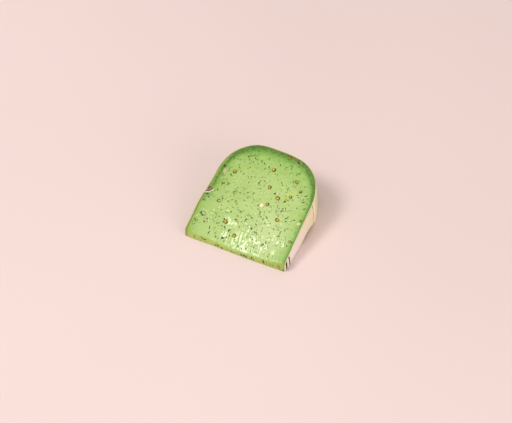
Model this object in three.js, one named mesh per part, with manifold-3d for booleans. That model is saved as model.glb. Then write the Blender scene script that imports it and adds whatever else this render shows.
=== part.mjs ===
// A wedge of green herb cheese with mustard seeds, cut from a coated wheel.
//
// The wheel's axis runs along X. The lower cut face lies on z = 0, and the upper one climbs
// from the trimmed nose at -Y to the rim at +Y. Millimetres, +Z up, with the origin under
// the middle of the wedge.

import * as THREE from "three";
import { mergeVertices } from "three/addons/utils/BufferGeometryUtils.js";
import Module from "manifold-3d";

// The wheel, over its coat. The flats are level out to SHOULDER_START from the axis, and
// the shoulders round over from there to the rim, as a quarter of a superellipse.
const WHEEL_HEIGHT = 93;
const WHEEL_RADIUS = 125;
const SHOULDER_START = 85.5;
const SHOULDER_POWER_ACROSS = 2.4;
const SHOULDER_POWER_OUT = 2.23;

// The wedge. Its tip is trimmed off square, NOSE_DISTANCE from the wheel's axis. The soft
// nose stands out a little in the middle, and the upper cut face is dished behind it.
const WEDGE_ANGLE = THREE.MathUtils.degToRad(20);
const NOSE_DISTANCE = 28.6;
const NOSE_BULGE = 1.2;
const DISH_DEPTH = 4.4;
const DISH_LENGTH = 46;

// The coat on the rim and on both flats, and the clearance kept between any two pieces.
const COAT_THICKNESS = 0.9;
const GAP = 0.3;

// The paper label on one flat. It was cut through with the cheese.
const LABEL_THICKNESS = 0.3;
const LABEL_RADIUS = 91;
const LABEL_FROM_CUTS = 0.5;

// Seeds and garlic chips are sliced by the knife and stand a hair proud of the cut face.
// SLICE_HEIGHT is how far above its middle a piece is sliced, as a share of its radius.
const PROUD = 0.2;
const SLICE_HEIGHT = 0.35;
const SEED_THICKNESS_SHARE = 0.85;
const CHIP_DEPTH = 1.6;

// Where each seed shows on the upper cut face: across from -1 to 1, out from nose 0 to
// rim 1, and its diameter.
const FACE_SEEDS = [
  [-0.70, 0.75, 3.6],
  [0.04, 0.84, 3.6],
  [-0.90, 0.74, 2.2],
  [-0.82, 0.62, 2.6],
  [0.12, 0.66, 3.2],
  [0.59, 0.84, 3.0],
  [0.74, 0.79, 2.8],
  [0.37, 0.59, 3.6],
  [0.60, 0.67, 2.8],
  [0.23, 0.49, 3.2],
  [-0.73, 0.39, 3.0],
  [-0.40, 0.18, 3.4],
  [-0.12, 0.08, 3.2],
  [0.55, 0.39, 3.4],
  [1.00, 0.58, 2.2],
  [0.98, 0.26, 2.2],
  [0.24, 1.00, 2.4],
];

// Seeds in the nose: across from -1 to 1, up from foot 0 to cut edge 1, and diameter.
const NOSE_SEEDS = [
  [0.96, 0.34, 2.6],
  [-0.36, 0.48, 2.4],
];

// Garlic chips on the upper cut face: across, out, width and length.
const GARLIC_CHIPS = [
  [0.13, 0.46, 4.4, 3.8],
  [0.32, 0.63, 2.6, 2.8],
  [-0.90, 0.80, 2.6, 4.4],
  [-0.88, 0.20, 4.2, 2.2],
  [-0.99, 0.17, 2.2, 2.6],
  [-0.77, 0.12, 2.4, 2.2],
  [0.99, 0.52, 2.8, 2.4],
];

// The notch in the edge of the cut face on the unlabelled side, and the torn scrap of an
// old label that stands curled in it.
const NOTCH_RADIUS = 5.2;
const NOTCH_DEPTH = 3.4;
const NOTCH_OUT = 0.43;
const SCRAP_THICKNESS = 0.35;
const SCRAP_HEIGHT = 2.6;
const SCRAP_FLARE = 0.9;
const SCRAP_START = THREE.MathUtils.degToRad(-75);
const SCRAP_END = THREE.MathUtils.degToRad(20);

// How finely the bent solids are divided.
const STEPS_ACROSS = 20;
const STEPS_OUT = 20;
const STEPS_ROUND = 5;
const BALL_STEPS = 12;

const LARGEST_PIECE = Math.max(...[...FACE_SEEDS, ...GARLIC_CHIPS].flatMap((row) => row.slice(2)));
const EDGE_MARGIN = LARGEST_PIECE / 2 + GAP;
const PASTE_INSET = COAT_THICKNESS + GAP;
const NOSE_TIP = NOSE_DISTANCE - NOSE_BULGE;
const MIDDLE_OUT = (NOSE_TIP + WHEEL_RADIUS) / 2;
const LABEL_STANDS_OUT = GAP + LABEL_THICKNESS;

const mix = THREE.MathUtils.lerp;
const wasm = await Module();
wasm.setup();

// The wheel's half section, drawn in by a wall: its half width at a radius, its radius at a
// place across, and the corner where the side outline hands over to the rim outline.
function sectionInset(inset) {
  const half = WHEEL_HEIGHT / 2 - inset;
  const reach = WHEEL_RADIUS - inset - SHOULDER_START;
  const halfAt = (radius) => {
    const past = THREE.MathUtils.clamp((radius - SHOULDER_START) / reach, 0, 1);
    return half * (1 - past ** SHOULDER_POWER_OUT) ** (1 / SHOULDER_POWER_ACROSS);
  };
  const crownAt = (across) => {
    const share = Math.min(1, Math.abs(across) / half);
    return SHOULDER_START + reach * (1 - share ** SHOULDER_POWER_ACROSS) ** (1 / SHOULDER_POWER_OUT);
  };
  const cornerAcross = half * Math.SQRT1_2 ** (2 / SHOULDER_POWER_ACROSS);
  return { half, halfAt, crownAt, cornerAcross, cornerRadius: crownAt(cornerAcross) };
}

// A bump that is 1 in the middle of the wedge and 0 at the flats.
function middleBump(across) {
  const share = Math.min(1, Math.abs(across) / (WHEEL_HEIGHT / 2));
  return 1 - share * share;
}

// How far the nose lies from the wheel's axis, measured along a plane turned about it.
function noseAt(across, turn) {
  return (NOSE_DISTANCE - NOSE_BULGE * middleBump(across)) / Math.cos(turn);
}

// From the wheel (place across, radius, turn about the axis) to the wedge's own frame. The
// dish sinks the upper cut face, and what lies under it in proportion.
function inWedge(across, radius, turn) {
  const y = radius * Math.cos(turn);
  const fade = 1 - THREE.MathUtils.clamp((y - NOSE_TIP) / DISH_LENGTH, 0, 1);
  const sink = DISH_DEPTH * middleBump(across) * fade * fade * (turn / WEDGE_ANGLE);
  return new THREE.Vector3(across, y - MIDDLE_OUT, radius * Math.sin(turn) - sink);
}

// A point of the section: side runs from -1 to 1 across, out from the nose 0 to the rim 1.
function sectionPoint(section, side, out, turn) {
  const flatRadius = mix(noseAt(section.half, turn), section.cornerRadius, out);
  const nose = noseAt(side * section.half, turn);
  const crown = section.crownAt(side * section.cornerAcross);
  return inWedge(side * section.halfAt(flatRadius), mix(nose, crown, out), turn);
}

// Moves every vertex of a geometry to the point that bend gives for it.
function bent(geometry, bend) {
  const place = geometry.attributes.position;
  for (let i = 0; i < place.count; i += 1) {
    const point = bend(place.getX(i), place.getY(i), place.getZ(i));
    place.setXYZ(i, point.x, point.y, point.z);
  }
  geometry.computeVertexNormals();
  return geometry;
}

// A closed geometry as a solid that can be cut, and the way back.
function toSolid(geometry) {
  const bare = geometry.clone();
  bare.deleteAttribute("normal");
  bare.deleteAttribute("uv");
  const merged = mergeVertices(bare, 1e-4);
  const vertProperties = new Float32Array(merged.attributes.position.array);
  const triVerts = new Uint32Array(merged.index.array);
  return new wasm.Manifold(new wasm.Mesh({ numProp: 3, vertProperties, triVerts }));
}

function toGeometry(solid) {
  const mesh = solid.getMesh();
  const geometry = new THREE.BufferGeometry();
  geometry.setAttribute("position", new THREE.BufferAttribute(mesh.vertProperties, 3));
  geometry.setIndex(new THREE.BufferAttribute(mesh.triVerts, 1));
  geometry.computeVertexNormals();
  return geometry;
}

function finish(color, roughness) {
  return new THREE.MeshStandardMaterial({ color, roughness, metalness: 0 });
}

function namedMesh(name, geometry, material) {
  const mesh = new THREE.Mesh(geometry, material);
  mesh.name = name;
  return mesh;
}

// A seat on the upper cut face: a frame with its Z out of the cheese and its X across.
// Places are shares of the room that is left inside the paste's edges.
function faceSeat(acrossShare, outShare) {
  const section = sectionInset(PASTE_INSET);
  const across = acrossShare * (section.half - EDGE_MARGIN);
  const nearest = noseAt(across, WEDGE_ANGLE) + EDGE_MARGIN;
  const radius = mix(nearest, section.crownAt(across) - EDGE_MARGIN, outShare);
  const here = inWedge(across, radius, WEDGE_ANGLE);
  const sideways = inWedge(across + GAP, radius, WEDGE_ANGLE).sub(here).normalize();
  const outwards = inWedge(across, radius + GAP, WEDGE_ANGLE).sub(here);
  const up = sideways.clone().cross(outwards).normalize();
  const seat = new THREE.Matrix4().makeBasis(sideways, up.clone().cross(sideways), up);
  return seat.setPosition(here);
}

// A seat on the trimmed nose, with its Z out of the cheese towards -Y.
function noseSeat(acrossShare, upShare) {
  const across = acrossShare * (sectionInset(PASTE_INSET).half - EDGE_MARGIN);
  const top = inWedge(across, noseAt(across, WEDGE_ANGLE), WEDGE_ANGLE);
  const seat = new THREE.Matrix4().makeRotationX(Math.PI / 2);
  return seat.setPosition(across, top.y, top.z * upShare);
}

// A sliced seed or chip, with the cut face at its local z = 0.
function slicedPiece(width, length, depth) {
  const sliced = Math.asin(SLICE_HEIGHT);
  const outline = [new THREE.Vector2(0, -1)];
  for (let step = 1; step <= BALL_STEPS / 2; step += 1) {
    const angle = mix(-Math.PI / 2, sliced, step / (BALL_STEPS / 2));
    outline.push(new THREE.Vector2(Math.cos(angle), Math.sin(angle)));
  }
  outline.push(new THREE.Vector2(0, SLICE_HEIGHT));
  const ball = new THREE.LatheGeometry(outline, BALL_STEPS).rotateX(Math.PI / 2);
  return sunk(ball, width, length, depth, 0);
}

// The ball that clears a pocket for such a piece.
function pocketBall(width, length, depth) {
  return sunk(new THREE.SphereGeometry(1, BALL_STEPS, BALL_STEPS / 2), width, length, depth, GAP);
}

// Stretches a unit ball to the piece's size plus a clearance, and sinks its middle so that
// the piece's slice stands PROUD of the cut face.
function sunk(ball, width, length, depth, clearance) {
  ball.scale(width / 2 + clearance, length / 2 + clearance, depth / 2 + clearance);
  return ball.translate(0, 0, PROUD - (SLICE_HEIGHT * depth) / 2);
}

// The coat: a band along the whole section outline, from the nose up one side, over the
// crown and down the other side, turned about the wheel's axis.
function coatGeometry() {
  const band = new THREE.BoxGeometry(6, 1, 1, 3 * STEPS_ACROSS, 1, STEPS_ROUND);
  return bent(band, (along, wall, round) => {
    const section = sectionInset(mix(COAT_THICKNESS, 0, wall + 0.5));
    const side = THREE.MathUtils.clamp(along, -1, 1);
    const out = Math.min(1, (3 - Math.abs(along)) / 2);
    return sectionPoint(section, side, out, (round + 0.5) * WEDGE_ANGLE);
  });
}

function pasteGeometry() {
  const section = sectionInset(PASTE_INSET);
  const block = new THREE.BoxGeometry(2, 1, 1, STEPS_ACROSS, STEPS_OUT, STEPS_ROUND);
  return bent(block, (side, out, round) =>
    sectionPoint(section, side, out + 0.5, (round + 0.5) * WEDGE_ANGLE));
}

// The label: a sheet just outside the coat on the +X flat, out to LABEL_RADIUS.
function labelGeometry() {
  const sheet = new THREE.BoxGeometry(1, 1, 1, 1, STEPS_OUT, STEPS_ROUND);
  return bent(sheet, (wall, out, round) => {
    const section = sectionInset(-GAP - LABEL_THICKNESS * (wall + 0.5));
    const middle = WEDGE_ANGLE / 2;
    const nose = noseAt(section.half, middle + round * WEDGE_ANGLE) + LABEL_FROM_CUTS;
    const radius = mix(nose, LABEL_RADIUS, out + 0.5);
    const fromCut = LABEL_FROM_CUTS / radius;
    const turn = middle + round * (WEDGE_ANGLE - 2 * fromCut);
    return inWedge(section.halfAt(radius), radius, turn);
  });
}

// The notch's middle, on the edge of the upper cut face.
function notchSeat() {
  const section = sectionInset(0);
  const radius = mix(noseAt(section.half, WEDGE_ANGLE), section.cornerRadius, NOTCH_OUT);
  const seat = new THREE.Matrix4().makeRotationX(WEDGE_ANGLE);
  return seat.setPosition(inWedge(-section.half, radius, WEDGE_ANGLE));
}

function notchBall() {
  const ball = new THREE.SphereGeometry(NOTCH_RADIUS, 2 * BALL_STEPS, BALL_STEPS);
  return ball.scale(1, 1, NOTCH_DEPTH / NOTCH_RADIUS);
}

// The scrap: a curled strip that stands in the notch and leans outwards.
function scrapGeometry() {
  const strip = new THREE.BoxGeometry(1, 1, 1, 1, BALL_STEPS, 2);
  const rim = NOTCH_RADIUS - GAP - SCRAP_FLARE;
  return bent(strip, (wall, along, height) => {
    const angle = mix(SCRAP_START, SCRAP_END, along + 0.5);
    const radius = rim - SCRAP_THICKNESS * (0.5 - wall) - SCRAP_FLARE * (0.5 - height);
    const up = SCRAP_HEIGHT * height;
    return new THREE.Vector3(radius * Math.cos(angle), radius * Math.sin(angle), up);
  });
}

const seeds = [];
FACE_SEEDS.forEach(([across, out, diameter]) => {
  seeds.push({ seat: faceSeat(across, out), width: diameter, length: diameter });
});
NOSE_SEEDS.forEach(([across, up, diameter]) => {
  seeds.push({ seat: noseSeat(across, up), width: diameter, length: diameter });
});
seeds.forEach((seed, i) => {
  seed.name = `mustard_seed_${i + 1}`;
  seed.depth = seed.width * SEED_THICKNESS_SHARE;
  seed.material = finish(0xb07a1e, 0.45);
});
const chips = GARLIC_CHIPS.map(([across, out, width, length], i) => ({
  name: `garlic_chip_${i + 1}`,
  seat: faceSeat(across, out),
  width,
  length,
  depth: CHIP_DEPTH,
  material: finish(0xece0c4, 0.5),
}));
const inclusions = [...seeds, ...chips];

// The paste and the coat, cut by the pockets and the notch.
const notch = toSolid(notchBall().applyMatrix4(notchSeat()));
let paste = toSolid(pasteGeometry()).subtract(notch);
for (const { seat, width, length, depth } of inclusions) {
  paste = paste.subtract(toSolid(pocketBall(width, length, depth).applyMatrix4(seat)));
}
const coat = toSolid(coatGeometry()).subtract(notch);

const wedge = new THREE.Group();
wedge.add(namedMesh("paste", toGeometry(paste), finish(0xb4cf7f, 0.42)));
wedge.add(namedMesh("rind_coat", toGeometry(coat), finish(0xe3d59b, 0.35)));
wedge.add(namedMesh("flat_label", labelGeometry(), finish(0xe6d8c6, 0.7)));
for (const { name, seat, width, length, depth, material } of inclusions) {
  const piece = namedMesh(name, slicedPiece(width, length, depth), material);
  piece.applyMatrix4(seat);
  wedge.add(piece);
}
const scrap = namedMesh("label_scrap", scrapGeometry(), finish(0xf4efe4, 0.7));
scrap.applyMatrix4(notchSeat());
wedge.add(scrap);

// The label stands out on one side only, so the middle of the whole lies beside the wheel's.
wedge.position.x = -LABEL_STANDS_OUT / 2;

export default wedge;
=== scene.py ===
import math

import bpy
import numpy as np
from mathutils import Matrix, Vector


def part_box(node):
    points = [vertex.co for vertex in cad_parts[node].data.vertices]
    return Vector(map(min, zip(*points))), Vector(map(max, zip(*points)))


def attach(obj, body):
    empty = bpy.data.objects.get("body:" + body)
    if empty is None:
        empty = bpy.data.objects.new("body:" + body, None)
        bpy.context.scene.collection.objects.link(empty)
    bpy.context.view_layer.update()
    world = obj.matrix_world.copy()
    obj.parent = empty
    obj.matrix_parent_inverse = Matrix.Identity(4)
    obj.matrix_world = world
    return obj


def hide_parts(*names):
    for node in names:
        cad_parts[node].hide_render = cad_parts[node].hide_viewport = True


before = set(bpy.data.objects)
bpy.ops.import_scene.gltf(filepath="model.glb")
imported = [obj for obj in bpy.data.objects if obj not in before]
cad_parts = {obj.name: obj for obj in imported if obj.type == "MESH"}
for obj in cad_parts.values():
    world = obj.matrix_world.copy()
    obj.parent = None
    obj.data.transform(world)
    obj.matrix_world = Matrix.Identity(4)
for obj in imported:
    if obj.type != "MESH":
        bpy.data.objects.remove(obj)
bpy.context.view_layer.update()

# A wedge of green herb cheese with mustard seeds, lying on its lower cut face. Shapes are
# worked out in millimetres, in the frame's axes, and written to the meshes in metres.
MM = 0.001


# ---- The paste --------------------------------------------------------------------------
# Semi-hard cheese coloured with green herbs, pressed in a round mould, ripened, and cut
# from the wheel with a long knife: one soft solid with two cut faces and a trimmed nose.

WHEEL_RADIUS = 125.0
SHOULDER_START = 85.5
SHOULDER_POWER_ACROSS = 2.4
SHOULDER_POWER_OUT = 2.23
WEDGE_ANGLE = math.radians(20)
NOSE_DISTANCE = 28.6
NOSE_BULGE = 1.2
DISH_DEPTH = 4.4
DISH_LENGTH = 46.0
NOSE_ROUNDING = 1.5
PASTE_INSET = 1.0
COAT_LOW, COAT_HIGH = (np.array(corner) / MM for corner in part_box("rind_coat"))
WHEEL_HEIGHT = COAT_HIGH[0] - COAT_LOW[0]
MIDDLE = (COAT_LOW[0] + COAT_HIGH[0]) / 2
AXIS = COAT_HIGH[1] - WHEEL_RADIUS
SEEDS = sorted(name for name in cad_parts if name.startswith("mustard_seed"))
CHIPS = sorted(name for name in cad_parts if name.startswith("garlic_chip"))


def half_at(radius, inset):
    """Half the wheel's width at a distance from its axis, drawn in by an inset."""
    reach = WHEEL_RADIUS - inset - SHOULDER_START
    past = np.clip((radius - SHOULDER_START) / reach, 0, 1)
    return (WHEEL_HEIGHT / 2 - inset) * (1 - past**SHOULDER_POWER_OUT) ** (1 / SHOULDER_POWER_ACROSS)


def crown_at(across, inset):
    """The wheel's radius at a place across it, drawn in by an inset."""
    reach = WHEEL_RADIUS - inset - SHOULDER_START
    share = np.clip(np.abs(across) / (WHEEL_HEIGHT / 2 - inset), 0, 1)
    return SHOULDER_START + reach * (1 - share**SHOULDER_POWER_ACROSS) ** (1 / SHOULDER_POWER_OUT)


def middle_bump(across):
    """1 in the middle of the wedge, falling to 0 at the flats."""
    return 1 - np.clip(np.abs(across) / (WHEEL_HEIGHT / 2), 0, 1) ** 2


def section_place(side, out, turn, inset):
    """Across and radius of a point: side -1 to 1 across, out from the nose 0 to the rim 1."""
    half = WHEEL_HEIGHT / 2 - inset
    corner = half * 0.5 ** (1 / SHOULDER_POWER_ACROSS)
    flat_nose = NOSE_DISTANCE / np.cos(turn)
    nose = (NOSE_DISTANCE - NOSE_BULGE * middle_bump(side * half)) / np.cos(turn)
    flat_radius = flat_nose + (crown_at(corner, inset) - flat_nose) * out
    radius = nose + (crown_at(side * corner, inset) - nose) * out
    return side * half_at(flat_radius, inset), radius


def in_wedge(across, radius, turn):
    """A point of the wheel, turned about its axis, in the wedge with its dished cut face."""
    y = radius * np.cos(turn)
    fade = 1 - np.clip((y - NOSE_DISTANCE + NOSE_BULGE) / DISH_LENGTH, 0, 1)
    sink = DISH_DEPTH * middle_bump(across) * fade**2 * (turn / WEDGE_ANGLE)
    return across, y, radius * np.sin(turn) - sink


def read_places(piece):
    """A mesh's vertices as three rows of numbers."""
    flat = np.empty(len(piece.data.vertices) * 3)
    piece.data.vertices.foreach_get("co", flat)
    return flat.reshape(-1, 3).T


def smooth(value):
    """Eases 0 to 1, held at both ends."""
    share = np.clip(value, 0, 1)
    return share * share * (3 - 2 * share)


def out_of_round(x, y, z):
    """The wheel sagged on its shelf: one flat leans, and the rim and nose stand out in places."""
    at_flat = np.clip(-x / (WHEEL_HEIGHT / 2), 0, 1) ** 6
    at_rim = np.clip(np.hypot(y, z) / crown_at(x, 0), 0, 1) ** 9
    at_nose = smooth((42 - y) / 12) * smooth((-x - 20) / 20)
    lean = 2.5 * smooth((y - 48) / 34) - 0.8
    swell = 1.7 * np.exp(-(((x + 21) / 13) ** 2)) + 1.4 * np.exp(-(((x - 31) / 15) ** 2))
    off_edge = smooth((1 - np.hypot(y, z) / crown_at(x, 0)) / 0.18) * smooth((44 - np.abs(x)) / 9)
    slid = off_edge * smooth((y - 46) / 16)
    pushed = off_edge * smooth((y - 28.5) / 5) * smooth((50 - y) / 10)
    shifted_y = y + 0.8 * swell * at_rim - 1.1 * at_nose - 0.8 * slid + 0.9 * pushed
    return x + lean * at_flat + 0.5 * slid, shifted_y, z * shifted_y / y


def write_places(piece, x, y, z):
    """Writes places given in millimetres from the wheel's middle and axis."""
    x, y, z = out_of_round(x, y, z)
    places = np.stack([x + MIDDLE, y + AXIS, z], axis=1) * MM
    piece.data.vertices.foreach_set("co", places.ravel())
    piece.data.update()


def unevenness(x, y, grain, seed, stretch=1.0):
    """A smooth random height of about -1 to 1, with lumps of a size, longer along y."""
    draw = np.random.RandomState(seed)
    total = np.zeros_like(x)
    waves = 28
    for _ in range(waves):
        angle = draw.uniform(0, 2 * np.pi)
        pace = 2 * np.pi / (grain * draw.uniform(0.7, 1.6))
        way = pace * (x * np.cos(angle) + y * np.sin(angle) / stretch)
        total += np.cos(way + draw.uniform(0, 2 * np.pi))
    return total / math.sqrt(waves)


def near_line(x, y, start, end):
    """Distance from a straight line between two points, and the share along it."""
    way_x, way_y = end[0] - start[0], end[1] - start[1]
    length = math.hypot(way_x, way_y)
    along = ((x - start[0]) * way_x + (y - start[1]) * way_y) / length**2
    held = np.clip(along, 0, 1)
    return np.hypot(x - start[0] - held * way_x, y - start[1] - held * way_y), held


def box_of(node):
    """A node's low and high corners in millimetres."""
    return [np.array(corner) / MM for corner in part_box(node)]


def face_place(node):
    """A node's middle on the upper cut face, as across and radius, and its half width."""
    low, high = box_of(node)
    middle = (low + high) / 2
    return middle[0] - MIDDLE, (middle[1] - AXIS) / math.cos(WEDGE_ANGLE), (high[0] - low[0]) / 2


def add_grid(name, steps_across, steps_out):
    """A flat grid, -1 to 1 across and out."""
    bpy.ops.object.select_all(action="DESELECT")
    bpy.ops.mesh.primitive_grid_add(x_subdivisions=steps_across, y_subdivisions=steps_out, size=2)
    grid = bpy.context.object
    grid.name = grid.data.name = name
    return grid


def turn_faces_outward():
    """Turns the faces of the piece in hand outward, and leaves edit mode."""
    bpy.ops.object.mode_set(mode="EDIT")
    bpy.ops.mesh.select_all(action="SELECT")
    bpy.ops.mesh.normals_make_consistent(inside=False)
    bpy.ops.object.mode_set(mode="OBJECT")


def add_block(name, steps_across, steps_out, steps_up):
    """A closed block, -1 to 1 across and out and 0 to 1 up, gridded on every side."""
    block = add_grid(name, steps_across, steps_out)
    bpy.ops.object.mode_set(mode="EDIT")
    for _ in range(steps_up):
        bpy.ops.mesh.extrude_region_move(TRANSFORM_OT_translate={"value": (0, 0, 1 / steps_up)})
    turn_faces_outward()
    return block


def choose_faces(piece, test):
    """Selects, in edit mode, the faces whose middle and normal pass a test."""
    bpy.ops.object.mode_set(mode="EDIT")
    bpy.ops.mesh.select_mode(type="FACE")
    bpy.ops.mesh.select_all(action="DESELECT")
    bpy.ops.object.mode_set(mode="OBJECT")
    for face in piece.data.polygons:
        face.select = bool(test(face.center, face.normal))
    bpy.ops.object.mode_set(mode="EDIT")


EDGE_RINGS, RING_STEP = 6, 0.045


def plain_underside(block):
    """Swaps the gridded underside for one level face, with rings round its edge."""
    choose_faces(block, lambda middle, normal: middle.z < 0.005)
    bpy.ops.mesh.delete(type="FACE")
    bpy.ops.mesh.select_mode(type="EDGE")
    bpy.ops.mesh.select_non_manifold()
    bpy.ops.mesh.edge_face_add()
    bpy.ops.mesh.select_mode(type="FACE")
    for ring in range(1, EDGE_RINGS + 1):
        bpy.ops.mesh.extrude_region_move()
        shrink = (1 - RING_STEP * ring) / (1 - RING_STEP * (ring - 1))
        bpy.ops.transform.resize(value=(shrink, shrink, 1), center_override=(0, 0, 0))
    turn_faces_outward()


# Folds that the knife dragged up in the soft paste behind the nose: far and near end as
# across and radius, height and width. A fold stands up at its far end and sinks at its near.
FOLDS = [
    ((4.0, 53.0), (7.4, 41.5), 1.10, 2.3),
    ((9.4, 48.5), (17.8, 35.0), 0.92, 2.0),
    ((6.0, 41.5), (2.0, 31.5), 0.36, 1.3),
    ((9.8, 38.5), (6.2, 27.5), 0.50, 1.7),
    ((12.6, 36.5), (12.0, 28.0), 0.34, 1.2),
    ((15.6, 35.0), (19.6, 28.0), 0.34, 1.3),
    ((-1.2, 36.0), (-4.6, 28.5), 0.32, 1.2),
    ((-7.2, 34.0), (-9.4, 27.5), 0.34, 1.1),
    ((-8.2, 52.5), (-7.4, 44.0), 0.24, 1.3),
    ((25.4, 71.5), (27.6, 64.0), 0.50, 1.3),
    ((27.4, 66.0), (29.6, 59.5), 0.42, 1.5),
    ((24.2, 48.0), (26.0, 41.0), 0.40, 1.6),
    ((31.0, 50.5), (33.0, 43.0), 0.34, 1.5),
    ((18.6, 61.0), (20.0, 53.0), 0.30, 1.2),
    ((11.2, 57.5), (12.8, 51.0), 0.34, 1.3),
    ((26.8, 36.5), (29.6, 29.0), 0.26, 1.5),
    ((5.0, 84.0), (6.8, 77.5), 0.30, 1.1),
    ((-14.6, 41.0), (-17.6, 31.0), 0.22, 1.5),
    ((3.8, 66.0), (5.2, 59.0), 0.34, 1.3),
    ((37.6, 50.0), (38.6, 42.0), 0.26, 1.4),
]


def dragged_at(x, radius):
    """How strongly the knife dragged the face: 1 behind the nose, 0 towards the rim."""
    return smooth((68 - radius) / 26) * smooth((x + 17) / 9) * smooth((45 - x) / 8)


def sunk_at(x, radius):
    """How far the face has sunk towards the nose, most in the middle and at the bare corner."""
    middle = smooth((x + 17) / 9) * smooth((25 - x) / 9)
    droop = 1.2 * middle * smooth((39 - radius) / 12) + 0.8 * (1 - middle) * smooth((60 - radius) / 31)
    return droop + 0.8 * smooth((-28 - x) / 18) * smooth((54 - radius) / 26)


def fold_height(x, radius):
    """The folds, with a shallow furrow beside each, and small drag ripples between them."""
    height = np.zeros_like(x)
    for far_end, near_end, lift, width in FOLDS:
        away, along = near_line(x, radius, far_end, near_end)
        slope = (1 - 1.7 * along) * smooth(along / 0.14) * smooth((1.02 - along) / 0.16)
        aside = x - far_end[0] - along * (near_end[0] - far_end[0])
        height += (lift * slope + 0.05 * aside) * np.exp(-((away / (width * 0.72)) ** 4))
        furrow, _ = near_line(x - width * 1.1, radius, far_end, near_end)
        sink = 0.25 * lift * smooth(1 - abs(along - 0.5) * 2)
        height -= sink * np.exp(-((furrow / (width * 0.5)) ** 2))
    height += 0.12 * dragged_at(x, radius) * unevenness(x + 0.12 * radius, radius, 3.4, 11, stretch=6.0)
    return height - sunk_at(x, radius)


def pocket_depth(x, radius, place_x, place_radius, half):
    """The paste dips towards a seed or chip, and is cut away beneath it."""
    away = np.hypot(x - place_x, radius - place_radius)
    return 0.16 * smooth(1 - (away - half) / 0.8) + 0.8 * smooth((half + 0.12 - away) / 0.5)


# A crumb has broken out of the edge of the unlabelled flat, and the notch it left is painted dark brown
# as the shade in its hollow.
NOTCH_MIDDLE = (-44.9, 69.85)
NOTCH_WAY = (0.812, 0.584)
NOTCH_LONG, NOTCH_SHORT, NOTCH_DEPTH = 4.8, 2.7, 1.2
# Pinholes in the cut face, left by the gas of ripening.
PITS = 70


def in_notch(x, radius):
    """How far from the notch's middle, 1 at its lip, and how near its lip on the nose's side."""
    off_x, off_out = x - NOTCH_MIDDLE[0], radius - NOTCH_MIDDLE[1]
    along = (off_x * NOTCH_WAY[0] + off_out * NOTCH_WAY[1]) / NOTCH_LONG
    beside = (off_out * NOTCH_WAY[0] - off_x * NOTCH_WAY[1]) / NOTCH_SHORT
    ragged = np.hypot(along, beside) * (1 + 0.08 * unevenness(x, radius, 3.0, 5))
    return ragged, -beside


def notch_depth(x, radius):
    """The notch's bowl, deepest beside the lip that the scrap stands on."""
    away, near_lip = in_notch(x, radius)
    return NOTCH_DEPTH * np.sqrt(np.clip(1 - away**2, 0, 1)) * (1.1 + 0.6 * near_lip)


def open_relief(x, radius):
    """How far the upper cut face stands above or below its smooth surface."""
    lumps = 0.05 * unevenness(x, radius, 4.2, 2) + 0.014 * unevenness(x, radius, 1.3, 3)
    lumps *= 1 - 0.9 * np.maximum(dragged_at(x, radius), smooth((52 - radius) / 16))
    return 0.15 * unevenness(x, radius, 17, 1) + lumps + fold_height(x, radius)


def cut_relief(x, radius):
    """The open face's relief with its pits, its pockets and its notch."""
    height = open_relief(x, radius)
    draw = np.random.RandomState(41)
    for _ in range(PITS):
        pit_x, pit_radius = draw.uniform(-40, 41), draw.uniform(34, 115)
        size, depth = draw.uniform(0.5, 1.0), draw.uniform(0.10, 0.32)
        height -= depth * np.exp(-(((x - pit_x) / size) ** 2 + ((radius - pit_radius) / size) ** 2))
    for node in SEEDS + CHIPS:
        place_x, place_radius, half = face_place(node)
        if place_radius > NOSE_DISTANCE / math.cos(WEDGE_ANGLE) + 1:
            height -= pocket_depth(x, radius, place_x, place_radius, half)
    return height - notch_depth(x, radius)


def on_cut_face(x, radius, height):
    """Places at a height above the open cut face."""
    across, y, z = in_wedge(x, radius, WEDGE_ANGLE)
    lift = open_relief(x, radius) + height
    return across, y - lift * math.sin(WEDGE_ANGLE), z + lift * math.cos(WEDGE_ANGLE)


def on_nose_face(x, z, height):
    """Places at a height in front of the nose."""
    nose = NOSE_DISTANCE - NOSE_BULGE * middle_bump(x)
    return x, nose - nose_relief(x, z) - height, np.maximum(z, 0.03)


def nose_height(x):
    """How high the nose stands, up to the cut face."""
    return on_cut_face(x, (NOSE_DISTANCE - NOSE_BULGE * middle_bump(x)) / math.cos(WEDGE_ANGLE), 0)[2]


def nose_relief(x, z):
    """How far the nose's face stands out from its smooth surface."""
    return 0.10 * unevenness(x, z, 9, 21, stretch=0.6) + 0.04 * unevenness(x, z, 1.6, 22)


def rounded_nose(behind, below):
    """Rounds the edge where the nose meets the cut face."""
    near_x, near_z = NOSE_ROUNDING - behind, NOSE_ROUNDING - below
    away = np.hypot(near_x, near_z)
    inside = (near_x > 0) & (near_z > 0) & (away > NOSE_ROUNDING)
    share = np.where(inside, NOSE_ROUNDING / np.where(inside, away, 1), 1)
    return NOSE_ROUNDING - near_x * share, NOSE_ROUNDING - near_z * share


def bend_to_wedge(side, out, up, inset, relief):
    """Places for shares across, out and up, with the relief fading down the sides."""
    across, y, z = in_wedge(*section_place(side, out, up * WEDGE_ANGLE, inset), up * WEDGE_ANGLE)
    top_across, top_radius = section_place(side, out, WEDGE_ANGLE, inset)
    lift = relief(top_across, top_radius) * up**2
    return across, y - lift * math.sin(WEDGE_ANGLE), z + lift * math.cos(WEDGE_ANGLE)


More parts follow.
